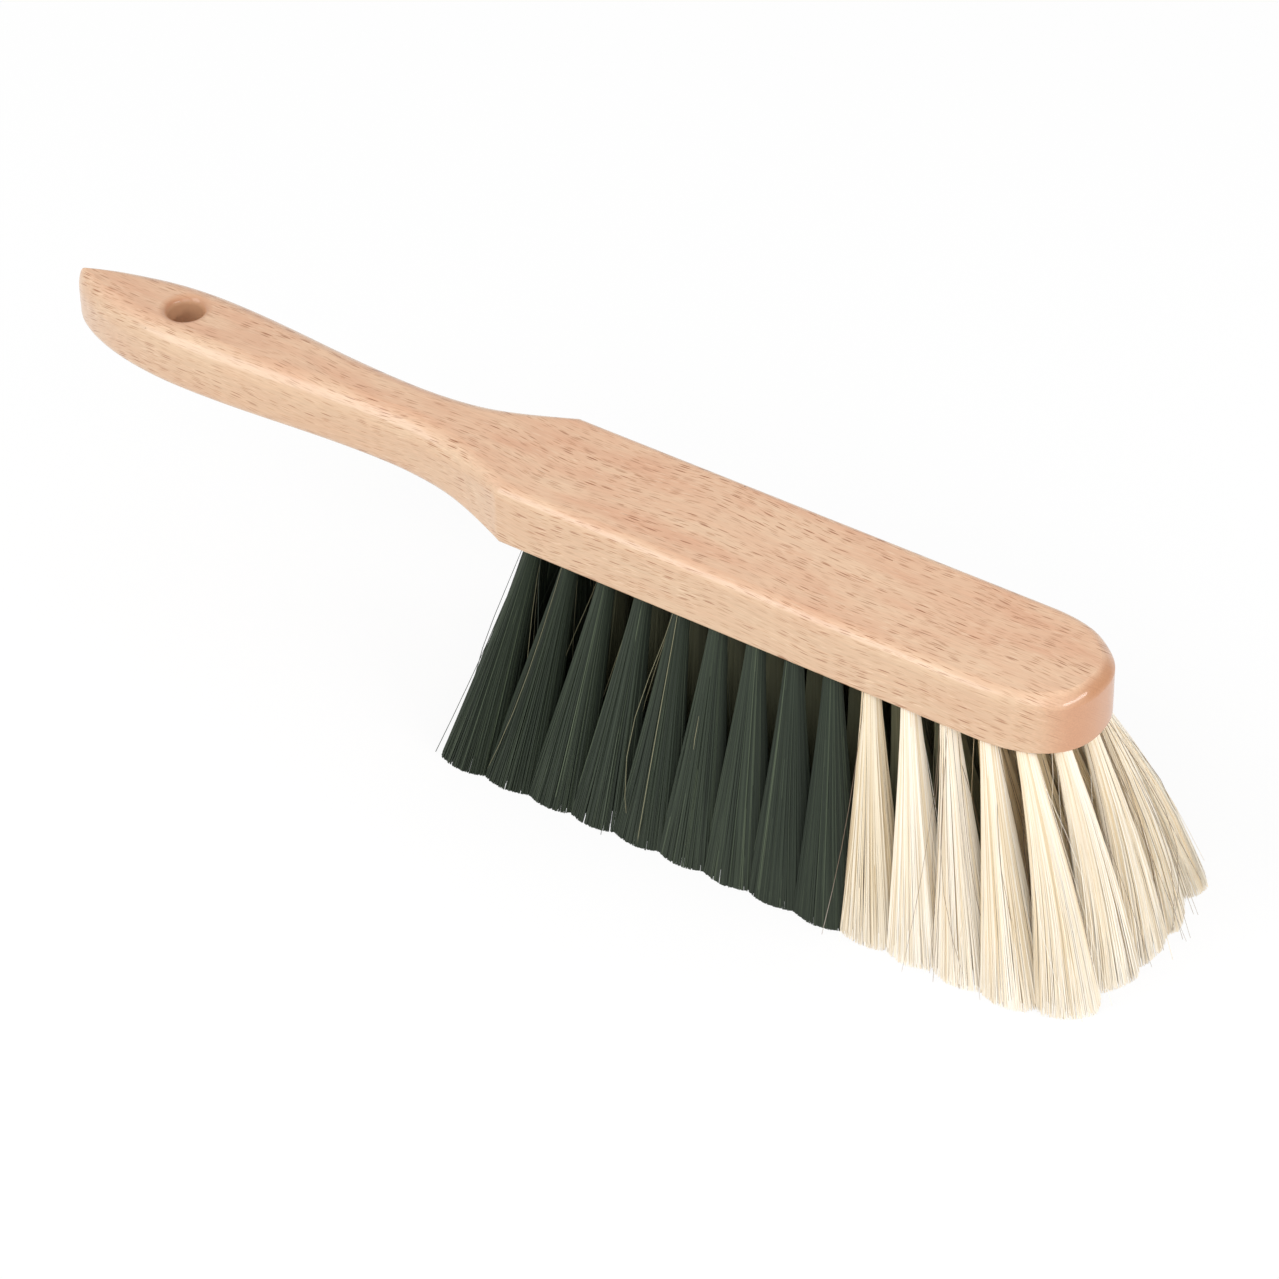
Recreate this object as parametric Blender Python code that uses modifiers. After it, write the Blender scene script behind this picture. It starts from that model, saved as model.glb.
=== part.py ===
# Horsehair hand broom: a one-piece beech stock, with hair tufts folded over wire anchors in drilled holes.
# Metres, +Z up, +X towards the nose of the head. The trimmed hair tips lie on z = 0.
# While it is modelled, x = 0 is the shoulder, where the handle widens into the head.
# The origin ends up under the middle of the whole object.
import math

import bmesh
import bpy
from mathutils import Matrix, Vector

# Stock: head and handle
HEAD_LENGTH = 0.1584
HEAD_WIDTH = 0.036
STOCK_THICKNESS = 0.0165
NOSE_LENGTH = 0.0246
HANDLE_LENGTH = 0.1437
GRIP_WIDTH = 0.0240
GRIP_FROM_TIP = 0.0399
NECK_WIDTH = 0.0173
NECK_FROM_SHOULDER = 0.0425

# Stock: rounding of its edges
HEAD_TOP_RADIUS = 0.0034
HEAD_BOTTOM_RADIUS = 0.0010
GRIP_TOP_RADIUS = 0.0058
GRIP_BOTTOM_RADIUS = 0.0033
TIP_TOP_RADIUS = 0.0065
TIP_BOTTOM_RADIUS = 0.0030
TIP_INSET_RESERVE = 0.0040
EDGE_BLEND_LENGTH = 0.026

# Hanging hole, rounded at both rims
HANG_HOLE_DIAMETER = 0.0090
HANG_HOLE_FROM_TIP = 0.0348
HANG_HOLE_RIM_RADIUS = 0.0022

# Tuft holes, drilled into the underside of the head
HOLE_DIAMETER = 0.0042
HOLE_DEPTH = 0.0090
EDGE_ROW_INSET = 0.0042
FIRST_TUFT_FROM_SHOULDER = 0.0082
LAST_TUFT_FROM_NOSE = 0.0222
INNER_ROW_OVERHANG = 0.0045

# Hair: free length under the stock, and how far the tips lean from their holes
HAIR_LENGTH = 0.0600
BACK_LEAN = 0.0093
FRONT_LEAN = 0.0187
NOSE_REACH = 0.0130
SIDE_LEAN = 0.0158
ROOT_PROUD = 0.0008
STRAND_GAP = 0.00024
TRIM_DEPTH = 0.0005

# Wire anchors, one in the fold of each tuft
ANCHOR_WIDTH = 0.0022
ANCHOR_THICKNESS = 0.0004
ANCHOR_BITE = 0.0005
FOLD_THICKNESS = 0.0012

# Clearance between pieces that touch, and how far a cutter runs past what it cuts
CLEARANCE = 0.0003
OVERRUN = 0.002

# Counts
EDGE_ROW_TUFTS = 13
INNER_ROW_TUFTS = 13
NOSE_TUFTS = 5
DARK_EDGE_TUFTS = 9
DARK_INNER_TUFTS = 11
TUFT_STRANDS = 7
HOLE_SIDES = 10
HANG_HOLE_SIDES = 24

# Shape shares: exponents of the outlines, and shares of the sizes that they follow
NOSE_EXPONENT = 2.3
NOSE_TIPS_EXPONENT = 3.6
TIP_EXPONENT = 0.70
FLARE_EXPONENT = 2.1
TIP_INSET_SHARE = 0.6
ALONG_CELL_SHARE = 0.38
ACROSS_CELL_SHARE = 0.34
INNER_STRAND_SHARE = 0.45
STRAND_WIDTH_SHARE = 0.38
INNER_ROW_SHARE = 1 / 3

# Colours, linear, with roughness
BEECH = ((0.76, 0.50, 0.32), 0.45)
DARK_HORSEHAIR = ((0.018, 0.030, 0.024), 0.50)
BLOND_HORSEHAIR = ((0.80, 0.70, 0.50), 0.55)

STOCK_BOTTOM = HAIR_LENGTH
STOCK_TOP = HAIR_LENGTH + STOCK_THICKNESS
EDGE_ROW_Y = HEAD_WIDTH / 2 - EDGE_ROW_INSET
TUFT_RADIUS = HOLE_DIAMETER / 2 - CLEARANCE


def clear_scene():
    for item in list(bpy.data.objects):
        bpy.data.objects.remove(item, do_unlink=True)


def new_collection(name):
    collection = bpy.data.collections.new(name)
    bpy.context.scene.collection.children.link(collection)
    return collection


def new_material(name, look):
    colour, roughness = look
    material = bpy.data.materials.new(name)
    material.use_nodes = True
    shader = material.node_tree.nodes["Principled BSDF"]
    shader.inputs["Base Color"].default_value = (*colour, 1)
    shader.inputs["Roughness"].default_value = roughness
    shader.inputs["Metallic"].default_value = 0
    material.diffuse_color = (*colour, 1)
    return material


def new_object(name, shape, collection, material=None, location=(0, 0, 0)):
    mesh = bpy.data.meshes.new(name)
    bmesh.ops.recalc_face_normals(shape, faces=shape.faces)
    shape.to_mesh(mesh)
    shape.free()
    item = bpy.data.objects.new(name, mesh)
    item.location = location
    collection.objects.link(item)
    if material:
        mesh.materials.append(material)
    return item


def hide_cutter(item):
    item.hide_render = True
    item.display_type = "WIRE"


def ease(share):
    share = min(max(share, 0), 1)
    return (1 - math.cos(math.pi * share)) / 2


# Outline of the stock: half its width at a distance along it

def handle_half_width(from_tip):
    """Half width of the handle: pointed tip, widest at the grip, narrow at the neck, flared to the head."""
    grip = GRIP_WIDTH / 2
    neck = NECK_WIDTH / 2
    neck_from_tip = HANDLE_LENGTH - NECK_FROM_SHOULDER
    if from_tip <= GRIP_FROM_TIP:
        left = 1 - from_tip / GRIP_FROM_TIP
        return grip * (1 - left ** 2) ** TIP_EXPONENT
    if from_tip <= neck_from_tip:
        share = (from_tip - GRIP_FROM_TIP) / (neck_from_tip - GRIP_FROM_TIP)
        return grip + (neck - grip) * ease(share)
    share = (from_tip - neck_from_tip) / NECK_FROM_SHOULDER
    return neck + (HEAD_WIDTH / 2 - neck) * share ** FLARE_EXPONENT


def nose_point(turn, length=NOSE_LENGTH, half_width=HEAD_WIDTH / 2, exponent=NOSE_EXPONENT):
    """Point of a nose-shaped curve, from where it starts: turn runs from 0 at its side to 1 at its front."""
    angle = turn * math.pi / 2
    power = 2 / exponent
    return Vector((length * math.sin(angle) ** power, half_width * max(math.cos(angle), 0) ** power))


def outline_side():
    """Points (x, half width) of one side, from the tip of the handle to the front of the nose."""
    tip_steps, grip_steps, flare_steps, nose_steps = 9, 6, 6, 11
    neck_from_tip = HANDLE_LENGTH - NECK_FROM_SHOULDER
    places = [GRIP_FROM_TIP * (1 - math.cos(math.pi / 2 * i / tip_steps)) for i in range(tip_steps)]
    grip_run = neck_from_tip - GRIP_FROM_TIP
    places += [GRIP_FROM_TIP + grip_run * i / grip_steps for i in range(grip_steps)]
    places += [neck_from_tip + NECK_FROM_SHOULDER * i / flare_steps for i in range(flare_steps)]
    side = [(place - HANDLE_LENGTH, handle_half_width(place)) for place in places]
    side.append((0, HEAD_WIDTH / 2))
    nose_start = HEAD_LENGTH - NOSE_LENGTH
    nose = [nose_point(i / nose_steps) for i in range(nose_steps + 1)]
    side += [(nose_start + point.x, point.y) for point in nose]
    return side


def edge_radii(x):
    """Radius of the bottom and of the top edge at x."""
    grip_share = ease(-x / EDGE_BLEND_LENGTH)
    bottom = HEAD_BOTTOM_RADIUS + (GRIP_BOTTOM_RADIUS - HEAD_BOTTOM_RADIUS) * grip_share
    top = HEAD_TOP_RADIUS + (GRIP_TOP_RADIUS - HEAD_TOP_RADIUS) * grip_share
    tip_share = 1 - ease((x + HANDLE_LENGTH) / GRIP_FROM_TIP)
    return (bottom + (TIP_BOTTOM_RADIUS - bottom) * tip_share,
            top + (TIP_TOP_RADIUS - top) * tip_share)


def drawn_in(point, normal, radius, share):
    """The outline's point, moved inwards by a share of an edge radius, or by less where the tip is narrow."""
    from_tip = max(point.x + HANDLE_LENGTH, 0)
    if from_tip >= GRIP_FROM_TIP:
        return point - normal * radius * share
    left = 1 - from_tip / GRIP_FROM_TIP
    room = abs(point.y) + TIP_INSET_RESERVE * left ** 2
    inset = min(radius, room * TIP_INSET_SHARE) * share
    return Vector((point.x + inset * left ** 3, point.y * (1 - inset / room)))


def stock_outline():
    """Closed outline as (point, outward normal) pairs, down the right side and back up the left one."""
    side = outline_side()
    right = [Vector((x, -half)) for x, half in side]
    left = [Vector((x, half)) for x, half in reversed(side[1:-1])]
    points = right + left
    pairs = []
    for i, point in enumerate(points):
        before = (point - points[i - 1]).normalized()
        after = (points[(i + 1) % len(points)] - point).normalized()
        along = (before + after).normalized()
        pairs.append((point, Vector((along.y, -along.x))))
    return pairs


def build_stock(collection, material):
    """A stack of rings: the outline, drawn in by the edge radii at the bottom and at the top."""
    bottom_steps, top_steps = 2, 4
    outline = stock_outline()
    levels = [("bottom", 90 * i / bottom_steps) for i in range(bottom_steps + 1)]
    levels += [("top", 90 * i / top_steps) for i in range(top_steps + 1)]
    shape = bmesh.new()
    rings = []
    for edge, degrees in levels:
        angle = math.radians(degrees)
        ring = []
        for point, normal in outline:
            bottom_radius, top_radius = edge_radii(point.x)
            if edge == "bottom":
                place = drawn_in(point, normal, bottom_radius, 1 - math.sin(angle))
                height = STOCK_BOTTOM + bottom_radius * (1 - math.cos(angle))
            else:
                place = drawn_in(point, normal, top_radius, 1 - math.cos(angle))
                height = STOCK_TOP - top_radius * (1 - math.sin(angle))
            ring.append(shape.verts.new((place.x, place.y, height)))
        rings.append(ring)
    for lower, upper in zip(rings, rings[1:]):
        for i in range(len(lower)):
            j = (i + 1) % len(lower)
            shape.faces.new((lower[i], lower[j], upper[j], upper[i]))
    shape.faces.new(reversed(rings[0]))
    shape.faces.new(rings[-1])
    return new_object("beech_stock", shape, collection, material)


def build_hang_hole_cutter(collection):
    """Turned cutter of the hanging hole: a bore that opens out into rounded rims above and below."""
    bore = HANG_HOLE_DIAMETER / 2
    rim_steps = 3
    rim = []
    for i in range(rim_steps + 1):
        angle = math.pi / 2 * i / rim_steps
        radius = bore + HANG_HOLE_RIM_RADIUS * (1 - math.sin(angle))
        rim.append((radius, HANG_HOLE_RIM_RADIUS * (1 - math.cos(angle))))
    mouth = rim[0][0]
    profile = [(0, STOCK_TOP + OVERRUN), (mouth, STOCK_TOP + OVERRUN)]
    profile += [(radius, STOCK_TOP - depth) for radius, depth in rim]
    profile += [(radius, STOCK_BOTTOM + depth) for radius, depth in reversed(rim)]
    profile += [(mouth, STOCK_BOTTOM - OVERRUN), (0, STOCK_BOTTOM - OVERRUN)]
    shape = bmesh.new()
    points = [shape.verts.new((radius, 0, height)) for radius, height in profile]
    for first, second in zip(points, points[1:]):
        shape.edges.new((first, second))
    place = (HANG_HOLE_FROM_TIP - HANDLE_LENGTH, 0, 0)
    cutter = new_object("hang_hole_cutter", shape, collection, None, place)
    turn = cutter.modifiers.new("turn", "SCREW")
    turn.axis = "Z"
    turn.steps = HANG_HOLE_SIDES
    turn.render_steps = HANG_HOLE_SIDES
    turn.use_merge_vertices = True
    turn.merge_threshold = 0.00001
    hide_cutter(cutter)
    return cutter


# Places of the tufts: the root on the underside of the head, and the tip on the plane of the trimmed hair

def lean_of(root):
    """How far a tuft's tip leans from its root: back at the shoulder, forwards at the nose, and outwards."""
    row_start = FIRST_TUFT_FROM_SHOULDER
    row_end = HEAD_LENGTH - LAST_TUFT_FROM_NOSE
    share = min((root.x - row_start) / (row_end - row_start), 1)
    forward = -BACK_LEAN + (FRONT_LEAN + BACK_LEAN) * share
    return Vector((forward, SIDE_LEAN * root.y / EDGE_ROW_Y))


def edge_row_roots(side):
    start = FIRST_TUFT_FROM_SHOULDER
    end = HEAD_LENGTH - LAST_TUFT_FROM_NOSE
    pitch = (end - start) / (EDGE_ROW_TUFTS - 1)
    return [Vector((start + pitch * i, side * EDGE_ROW_Y)) for i in range(EDGE_ROW_TUFTS)]


def inner_row_roots(side):
    """The inner rows run past both ends of the edge rows."""
    start = FIRST_TUFT_FROM_SHOULDER - INNER_ROW_OVERHANG
    end = HEAD_LENGTH - LAST_TUFT_FROM_NOSE + INNER_ROW_OVERHANG
    pitch = (end - start) / (INNER_ROW_TUFTS - 1)
    return [Vector((start + pitch * i, side * EDGE_ROW_Y * INNER_ROW_SHARE)) for i in range(INNER_ROW_TUFTS)]


def round_nose(row_end, curve_start, curve):
    """Places of the nose tufts: evenly spaced along a curve, from one side of the nose round to the other."""
    side = [Vector((curve_start + point.x, point.y)) for point in curve]
    side = [row_end] + [point for point in side if point.x > row_end.x]
    path = [Vector((point.x, -point.y)) for point in side] + list(reversed(side[:-1]))
    reach = [0]
    for first, second in zip(path, path[1:]):
        reach.append(reach[-1] + (second - first).length)
    places = []
    for i in range(NOSE_TUFTS):
        wanted = reach[-1] * (i + 1) / (NOSE_TUFTS + 1)
        step = next(j for j, run in enumerate(reach) if run >= wanted)
        share = (wanted - reach[step - 1]) / (reach[step] - reach[step - 1])
        places.append(path[step - 1].lerp(path[step], share))
    return places


def nose_roots_and_tips():
    """The roots follow the nose of the stock, and the tips follow a wider and squarer curve."""
    turns = [i / 200 for i in range(201)]
    row_end = Vector((HEAD_LENGTH - LAST_TUFT_FROM_NOSE, EDGE_ROW_Y))
    root_curve = [nose_point(turn, NOSE_LENGTH - EDGE_ROW_INSET, EDGE_ROW_Y) for turn in turns]
    roots = round_nose(row_end, HEAD_LENGTH - NOSE_LENGTH, root_curve)
    tip_end = row_end + lean_of(row_end)
    tip_length = HEAD_LENGTH + NOSE_REACH - tip_end.x
    tip_curve = [nose_point(turn, tip_length, tip_end.y, NOSE_TIPS_EXPONENT) for turn in turns]
    tips = round_nose(tip_end, tip_end.x, tip_curve)
    return roots, tips


def tuft_plan():
    """Every tuft as (name, root, tip, way along its row, half cell along the row, half cell across it)."""
    ring_names = [tuft_name("right_edge", i, DARK_EDGE_TUFTS) for i in range(EDGE_ROW_TUFTS)]
    ring_names += [tuft_name("nose", i, 0) for i in range(NOSE_TUFTS)]
    ring_names += [tuft_name("left_edge", i, DARK_EDGE_TUFTS) for i in reversed(range(EDGE_ROW_TUFTS))]
    right, left = edge_row_roots(-1), list(reversed(edge_row_roots(1)))
    nose_roots, nose_tips = nose_roots_and_tips()
    ring = right + nose_roots + left
    ring_tips = [root + lean_of(root) for root in right] + nose_tips + [root + lean_of(root) for root in left]
    rows = [(ring_names, ring, ring_tips)]
    for side, word in ((-1, "right_inner"), (1, "left_inner")):
        names = [tuft_name(word, i, DARK_INNER_TUFTS) for i in range(INNER_ROW_TUFTS)]
        roots = inner_row_roots(side)
        rows.append((names, roots, [root + lean_of(root) for root in roots]))
    plan = []
    for i, (names, roots, tips) in enumerate(rows):
        others = [tip for j, row in enumerate(rows) if j != i for tip in row[2]]
        plan += row_plan(names, roots, tips, others)
    return plan


def tuft_name(row, i, dark_count):
    colour = "dark" if i < dark_count else "blond"
    return f"{row}_{colour}_tuft_{i + 1:02d}"


def row_plan(names, roots, tips, others):
    """One row of tufts. Each spreads over a share of the room that the tips round it leave."""
    row = []
    for i, name in enumerate(names):
        neighbours = [tips[j] for j in (i - 1, i + 1) if 0 <= j < len(tips)]
        along = (tips[min(i + 1, len(tips) - 1)] - tips[max(i - 1, 0)]).normalized()
        along_room = min((tip - tips[i]).length for tip in neighbours)
        across_room = min((tip - tips[i]).length for tip in others)
        half_along = along_room * ALONG_CELL_SHARE
        half_across = across_room * ACROSS_CELL_SHARE
        row.append((name, roots[i], tips[i], along, half_along, half_across))
    return row


# One tuft: the folded root in its hole, with its anchor, and the strands that fan out from it

def hair_axes(root, tip, along):
    """Directions of a tuft: down along the hair, along its row, and across its row."""
    down = Vector((tip.x - root.x, tip.y - root.y, -HAIR_LENGTH)).normalized()
    row_way = Vector((along.x, along.y, 0))
    row_way = (row_way - down * row_way.dot(down)).normalized()
    return down, row_way, down.cross(row_way)


def frame_at(place, down, row_way, across):
    """Matrix with local z down along the hair, x along the row and y across it."""
    turn = Matrix((row_way, across, down)).transposed().to_4x4()
    return Matrix.Translation(place) @ turn


def add_cylinder(shape, frame, radius, start, end, sides):
    """Closed cylinder along the frame's z, from start to end. Returns the cap at its end."""
    move = frame @ Matrix.Translation((0, 0, (start + end) / 2))
    made = bmesh.ops.create_cone(shape, cap_ends=True, segments=sides, radius1=radius, radius2=radius,
                                 depth=end - start, matrix=move)
    mouth = frame @ Vector((0, 0, end))
    faces = {face for vert in made["verts"] for face in vert.link_faces if len(face.verts) == sides}
    return min(faces, key=lambda face: (face.calc_center_median() - mouth).length)


def add_box(shape, frame, low, high):
    """Box in the frame, between two corners."""
    low, high = Vector(low), Vector(high)
    size = Matrix.Diagonal((high - low).to_4d())
    size[3][3] = 1
    bmesh.ops.create_cube(shape, size=1, matrix=frame @ Matrix.Translation((low + high) / 2) @ size)


def build_tuft(plan_row, collection, cutters, material):
    name, root, tip, along, half_along, half_across = plan_row
    down, row_way, across = hair_axes(root, tip, along)
    base = Vector((root.x, root.y, STOCK_BOTTOM))
    frame = frame_at((0, 0, 0), down, row_way, across)
    shape = bmesh.new()
    deep_end = -(HOLE_DEPTH - CLEARANCE)
    mouth = add_cylinder(shape, frame, TUFT_RADIUS, deep_end, ROOT_PROUD, TUFT_STRANDS)
    sectors = bmesh.ops.poke(shape, faces=[mouth])["faces"]
    bmesh.ops.inset_individual(shape, faces=sectors, thickness=STRAND_GAP / 2, use_even_offset=True)
    lean = Vector((tip.x - root.x, tip.y - root.y, 0))
    across_flat = Vector((-along.y, along.x, 0))
    row_flat = Vector((along.x, along.y, 0))
    ends = bmesh.ops.extrude_discrete_faces(shape, faces=sectors)["faces"]
    for i, end in enumerate(sort_round(ends, row_way, across)):
        middle = end.calc_center_median()
        turn = math.atan2(middle.dot(across), middle.dot(row_way))
        share = 1 if i % 2 == 0 else INNER_STRAND_SHARE
        goal = lean + row_flat * math.cos(turn) * half_along * share
        goal -= across_flat * math.sin(turn) * half_across * share
        half = max((vert.co - middle).length for vert in end.verts)
        growth = min(half_along, half_across) * STRAND_WIDTH_SHARE / half
        for vert in end.verts:
            offset = (vert.co - middle) * growth
            vert.co = Vector((goal.x + offset.x, goal.y + offset.y, -HAIR_LENGTH - TRIM_DEPTH))
    trim_tips(shape)
    tuft = new_object(name, shape, collection, material, base)
    anchor = build_anchor(name, frame, base, cutters)
    join = tuft.modifiers.new("anchor", "BOOLEAN")
    join.operation = "UNION"
    join.object = anchor
    return tuft


def sort_round(faces, row_way, across):
    """The faces in order round the hair's axis."""
    def turn(face):
        middle = face.calc_center_median()
        return math.atan2(middle.dot(across), middle.dot(row_way))
    return sorted(faces, key=turn)


def trim_tips(shape):
    """The strands run past the trimming plane by the trim depth, and are cut flat there."""
    everything = shape.verts[:] + shape.edges[:] + shape.faces[:]
    cut = bmesh.ops.bisect_plane(shape, geom=everything, plane_co=(0, 0, -HAIR_LENGTH), plane_no=(0, 0, -1),
                                 clear_outer=True)["geom_cut"]
    edges = [item for item in cut if isinstance(item, bmesh.types.BMEdge)]
    bmesh.ops.holes_fill(shape, edges=edges)


def build_anchor(name, frame, base, cutters):
    """Flat wire across the fold of a tuft, with both ends out past the wall of the hole."""
    shape = bmesh.new()
    fold = -(HOLE_DEPTH - CLEARANCE) + FOLD_THICKNESS
    half_thickness = ANCHOR_THICKNESS / 2
    reach = HOLE_DIAMETER / 2 + ANCHOR_BITE
    add_box(shape, frame, (-half_thickness, -reach, fold), (half_thickness, reach, fold + ANCHOR_WIDTH))
    anchor = new_object(f"{name}_anchor", shape, cutters, None, base)
    hide_cutter(anchor)
    return anchor


def build_hole_cutters(plan, holes, slots):
    """Drill for each tuft's hole, and the slot that its anchor holds open in the wood on both sides of it."""
    for name, root, tip, along, half_along, half_across in plan:
        down, row_way, across = hair_axes(root, tip, along)
        base = Vector((root.x, root.y, STOCK_BOTTOM))
        frame = frame_at((0, 0, 0), down, row_way, across)
        shape = bmesh.new()
        add_cylinder(shape, frame, HOLE_DIAMETER / 2, -HOLE_DEPTH, OVERRUN, HOLE_SIDES)
        hide_cutter(new_object(f"{name}_drill", shape, holes, None, base))
        shape = bmesh.new()
        half_thickness = ANCHOR_THICKNESS / 2 + CLEARANCE
        reach = HOLE_DIAMETER / 2 + ANCHOR_BITE + CLEARANCE
        deep = -(HOLE_DEPTH - CLEARANCE) + FOLD_THICKNESS - CLEARANCE
        shallow = deep + ANCHOR_WIDTH + 2 * CLEARANCE
        add_box(shape, frame, (-half_thickness, -reach, deep), (half_thickness, reach, shallow))
        hide_cutter(new_object(f"{name}_slot", shape, slots, None, base))


def cut(item, name, cutter=None, collection=None):
    knife = item.modifiers.new(name, "BOOLEAN")
    knife.operation = "DIFFERENCE"
    knife.solver = "EXACT"
    if cutter:
        knife.object = cutter
    else:
        knife.operand_type = "COLLECTION"
        knife.collection = collection


def centre_on_origin(pieces, holder):
    """Moves the holder so that the origin lies under the middle of the whole object."""
    bpy.context.view_layer.update()
    xs = [(piece.matrix_world @ vert.co).x for piece in pieces for vert in piece.data.vertices]
    holder.location.x -= (min(xs) + max(xs)) / 2


def main():
    clear_scene()
    broom = new_collection("horsehair_hand_broom")
    cutters = new_collection("cutters")
    holes = new_collection("tuft_hole_cutters")
    slots = new_collection("anchor_slot_cutters")
    beech = new_material("beech", BEECH)
    dark = new_material("dark_horsehair", DARK_HORSEHAIR)
    blond = new_material("blond_horsehair", BLOND_HORSEHAIR)

    stock = build_stock(broom, beech)
    plan = tuft_plan()
    tufts = [build_tuft(row, broom, cutters, dark if "dark" in row[0] else blond) for row in plan]
    build_hole_cutters(plan, holes, slots)
    cut(stock, "hanging hole", cutter=build_hang_hole_cutter(cutters))
    cut(stock, "tuft holes", collection=holes)
    cut(stock, "anchor slots", collection=slots)

    holder = bpy.data.objects.new("broom_holder", None)
    broom.objects.link(holder)
    for item in list(bpy.data.objects):
        if item is not holder:
            item.parent = holder
    centre_on_origin([stock] + tufts, holder)
    stock.data.shade_smooth()
    stock.data.set_sharp_from_angle(angle=math.radians(40))
    print("tufts:", len(tufts), "strands:", len(tufts) * TUFT_STRANDS)


main()
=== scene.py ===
# Horsehair hand broom: beech stock, dark and blond hair tufts
import math

import bmesh
import bpy
import numpy as np
from mathutils import Matrix, Vector


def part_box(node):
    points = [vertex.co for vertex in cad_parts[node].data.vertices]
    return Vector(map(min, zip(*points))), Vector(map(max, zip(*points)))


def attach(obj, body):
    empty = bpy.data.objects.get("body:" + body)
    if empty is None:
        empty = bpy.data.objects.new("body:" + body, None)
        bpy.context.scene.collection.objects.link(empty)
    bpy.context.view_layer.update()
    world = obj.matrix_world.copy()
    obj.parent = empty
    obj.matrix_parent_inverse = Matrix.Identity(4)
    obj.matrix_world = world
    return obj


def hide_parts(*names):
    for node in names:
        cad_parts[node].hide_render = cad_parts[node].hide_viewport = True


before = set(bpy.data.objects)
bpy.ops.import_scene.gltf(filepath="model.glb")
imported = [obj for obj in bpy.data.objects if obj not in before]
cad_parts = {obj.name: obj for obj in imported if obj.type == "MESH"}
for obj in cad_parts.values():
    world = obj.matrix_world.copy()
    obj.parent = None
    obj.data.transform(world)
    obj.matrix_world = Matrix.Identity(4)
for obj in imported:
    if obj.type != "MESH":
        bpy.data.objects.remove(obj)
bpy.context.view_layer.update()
print("frame loaded:", len(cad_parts), "nodes")

mm = 0.001
stockLow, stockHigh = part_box("beech_stock")


def toLinear(hexColour):
    channels = [int(hexColour[i:i + 2], 16) / 255 for i in (1, 3, 5)]
    return [c / 12.92 if c <= 0.04045 else ((c + 0.055) / 1.055) ** 2.4 for c in channels] + [1]


def addNode(tree, kind, inputs=None, **settings):
    # inputs: socket name or number -> a value, an output, or a node whose first output feeds it
    node = tree.nodes.new(kind)
    for name, value in settings.items():
        setattr(node, name, value)
    for key, value in (inputs or {}).items():
        if isinstance(value, bpy.types.Node):
            value = value.outputs[0]
        if isinstance(value, bpy.types.NodeSocket):
            tree.links.new(value, node.inputs[key])
        else:
            node.inputs[key].default_value = value
    return node


def meshObject(name, shape):
    mesh = bpy.data.meshes.new(name)
    shape.to_mesh(mesh)
    shape.free()
    item = bpy.data.objects.new(name, mesh)
    bpy.context.scene.collection.objects.link(item)
    return item


# Camera: long lens, from the nose end's right-hand side, slightly rolled
camera = {
    "azimuth": 34.952, "elevation": 39.391, "roll": -1.216, "distance": 1.25299,
    "lens": 146.36, "sensorWidth": 36, "clipEnd": 20,
    # The point it looks at: from the handle's tip along the stock, to the side, and down from its top
    "lookAlong": 183.686 * mm, "lookAside": -16.405 * mm, "lookBelow": 30 * mm,
}


def makeCamera():
    azimuth, elevation, roll = (math.radians(camera[k]) for k in ("azimuth", "elevation", "roll"))
    back = Vector((math.sin(azimuth) * math.cos(elevation), -math.cos(azimuth) * math.cos(elevation),
                   math.sin(elevation)))
    right = Vector((math.cos(azimuth), math.sin(azimuth), 0))
    up = back.cross(right)
    rolledRight = right * math.cos(roll) + up * math.sin(roll)
    rolledUp = up * math.cos(roll) - right * math.sin(roll)
    target = Vector((stockLow.x + camera["lookAlong"], camera["lookAside"],
                     stockHigh.z - camera["lookBelow"]))
    lens = bpy.data.cameras.new("camera")
    lens.lens = camera["lens"]
    lens.sensor_width = camera["sensorWidth"]
    lens.clip_end = camera["clipEnd"]
    item = bpy.data.objects.new("camera", lens)
    bpy.context.scene.collection.objects.link(item)
    place = Matrix((rolledRight, rolledUp, back)).transposed().to_4x4()
    place.translation = target + back * camera["distance"]
    item.matrix_world = place
    bpy.context.scene.camera = item


makeCamera()
print("camera ready")


# Stage: white paper floor under an even sky, and three softboxes. Places are metres in the CAD's frame
light = {
    "sky": 0.62, "skyColour": "#FFFFFF", "lookAt": (0.03, 0, 0.05),
    "softboxes": {  # place, width, height, watts
        "leftSoftbox": ((-0.72, -1.03, 1.03), 0.95, 0.95, 9.0),
        "frontSoftbox": ((0.66, -1.10, 0.94), 1.00, 1.00, 5.0),
        "rightSoftbox": ((1.10, -0.04, 0.70), 0.95, 0.12, 4.6),
    },
    "paper": "#FFFFFF", "paperShadowShare": 0.14, "paperReach": 4,
}


def makeSoftbox(name, origin, width, height, watts):
    lamp = bpy.data.lights.new(name, "AREA")
    lamp.shape = "RECTANGLE"
    lamp.size = width
    lamp.size_y = height
    lamp.energy = watts
    item = bpy.data.objects.new(name, lamp)
    item.location = origin
    item.rotation_euler = (Vector(origin) - Vector(light["lookAt"])).to_track_quat("Z", "Y").to_euler()
    bpy.context.scene.collection.objects.link(item)


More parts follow.
